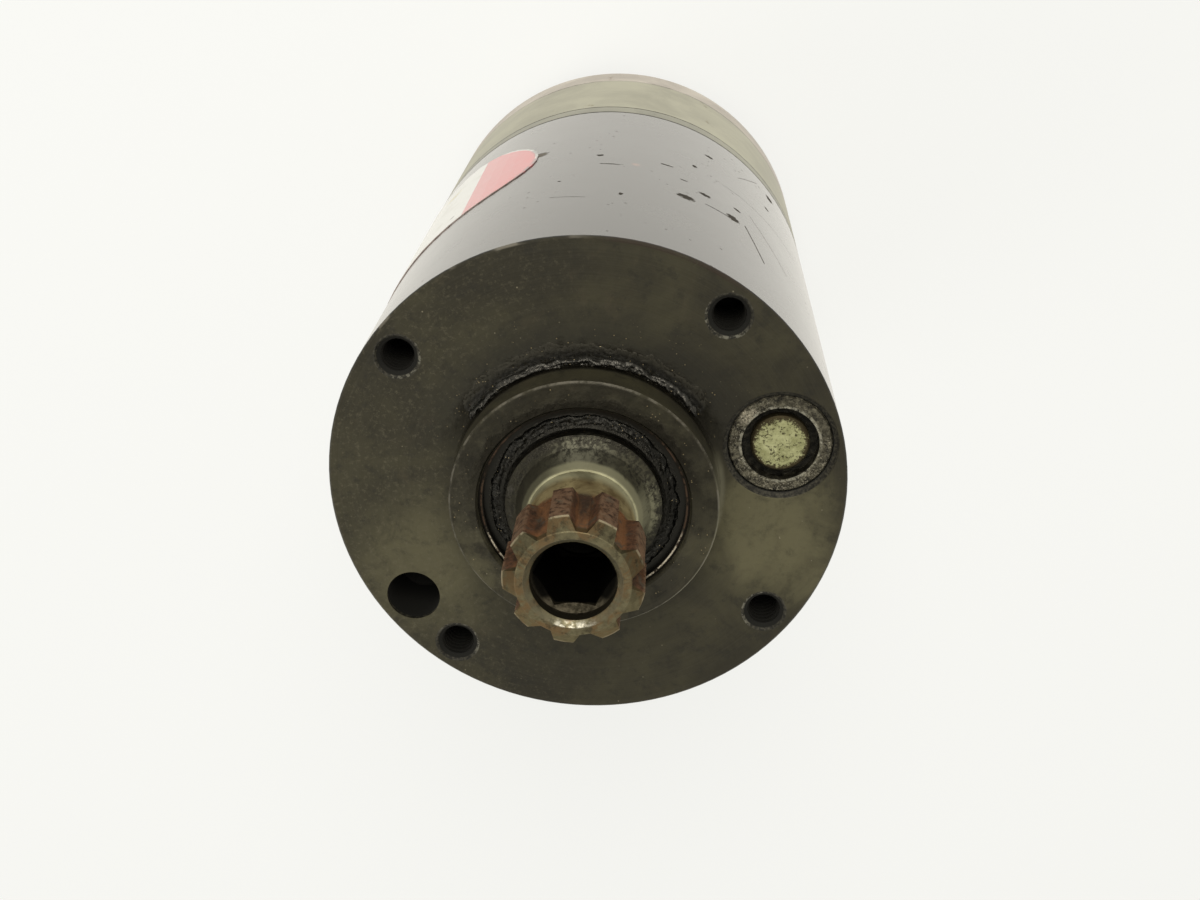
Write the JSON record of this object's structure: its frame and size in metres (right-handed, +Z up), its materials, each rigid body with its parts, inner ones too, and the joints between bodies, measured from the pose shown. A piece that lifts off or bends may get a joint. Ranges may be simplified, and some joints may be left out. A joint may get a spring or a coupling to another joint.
{
  "type": "hydraulic steering unit",
  "caption": "Hydraulic steering unit: round body with a splined input shaft on its tapped mounting face, a rotary valve and gear metering set inside, and hose ports on a flat.",
  "frame": {"origin": "on the axis of the input shaft, level with the ends of the rear screw heads", "axes": "+Z up the input shaft, out of the mounting face; -Y out of the ports; +X 14.6 degrees from the relief valve"},
  "size_m": [0.1018, 0.1016, 0.2148],
  "materials": {
    "body_paint": "semi-gloss black paint, chipped",
    "bare_plate": "dull bare steel with stains",
    "bare_ring": "dull bare steel with brown stains",
    "bare_cap": "dull bare iron",
    "screw_steel": "dark oxide",
    "washer_steel": "dull plating",
    "label_film": "printed film, plain colours",
    "snap_steel": "bright edges",
    "gland_iron": "machined, oily",
    "seal_rubber": "glossy where oily",
    "shaft_steel": "ground, rusty on the spline",
    "inner_steel": "hardened and ground",
    "cage_steel": "pressed sheet",
    "leaf_steel": "blue spring steel",
    "plug_steel": "rough, dark",
    "adjuster_steel": "dull, speckled"
  },
  "bodies": {
    "body": {"housing": "body_paint", "spacer_plate": "bare_plate", "gear_ring": "bare_ring", "end_cap": "bare_cap", "cap_screws": "screw_steel", "ball_stop_screw": "screw_steel", "screw_washers": "washer_steel", "housing_o_ring": "seal_rubber", "plate_o_ring": "seal_rubber", "cap_o_ring": "seal_rubber", "label": "label_film", "retaining_ring": "snap_steel", "seal_gland": "gland_iron", "dust_seal": "seal_rubber", "shaft_seal": "seal_rubber", "gland_o_ring": "seal_rubber", "front_race": "inner_steel", "relief_plug": "plug_steel", "relief_adjuster": "adjuster_steel", "plug_o_ring": "seal_rubber", "relief_spring": "leaf_steel"},
    "sleeve": {"valve_sleeve": "inner_steel", "cross_pin": "inner_steel", "rear_race": "inner_steel", "flat_leaf_springs": "leaf_steel", "curved_leaf_springs": "leaf_steel"},
    "spool": {"input_spool": "shaft_steel"},
    "orbit": {"drive_spacer": "inner_steel"},
    "gear": {"rotor": "inner_steel"},
    "link": {"drive_link": "inner_steel"},
    "needles": {"needle_cage": "cage_steel", "needle_rollers": "inner_steel"},
    "ball": {"check_ball": "inner_steel"},
    "poppet": {"relief_poppet": "inner_steel"}
  },
  "joints": [
    {"name": "meter_turn", "type": "hinge", "parent": "body", "child": "sleeve", "pos_m": [0, 0, 0], "axis": [0, 0, 1], "continuous": true},
    {"name": "valve_shift", "type": "hinge", "parent": "sleeve", "child": "spool", "pos_m": [0, 0, 0], "axis": [0, 0, 1], "range_deg": [-8, 8], "stiffness_Nm_per_rad": 8, "deforming": ["flat_leaf_springs", "curved_leaf_springs"]},
    {"name": "orbit_turn", "type": "hinge", "parent": "body", "child": "orbit", "pos_m": [0, 0, 0], "axis": [0, 0, 1], "continuous": true},
    {"name": "gear_roll", "type": "hinge", "parent": "orbit", "child": "gear", "pos_m": [0.0028, 0, 0.037], "axis": [0, 0, 1], "continuous": true},
    {"name": "link_roll", "type": "hinge", "parent": "orbit", "child": "link", "pos_m": [0, 0, 0.1217], "axis": [-0.0317, 0, 0.9995], "continuous": true},
    {"name": "needle_turn", "type": "hinge", "parent": "body", "child": "needles", "pos_m": [0, 0, 0], "axis": [0, 0, 1], "continuous": true},
    {"name": "ball_lift", "type": "slide", "parent": "body", "child": "ball", "axis": [0, 0, 1], "range_m": [0, 0.0015]},
    {"name": "poppet_lift", "type": "slide", "parent": "body", "child": "poppet", "axis": [0, 0, 1], "range_m": [0, 0.0015], "stiffness_N_per_m": 4000, "springref_m": -0.002, "deforming": ["relief_spring"]}
  ],
  "couplings": [
    {"joint": "orbit_turn", "follows": "meter_turn", "ratio": -6},
    {"joint": "gear_roll", "follows": "meter_turn", "ratio": 7},
    {"joint": "link_roll", "follows": "meter_turn", "ratio": 7},
    {"joint": "needle_turn", "follows": "meter_turn", "ratio": 0.5}
  ]
}
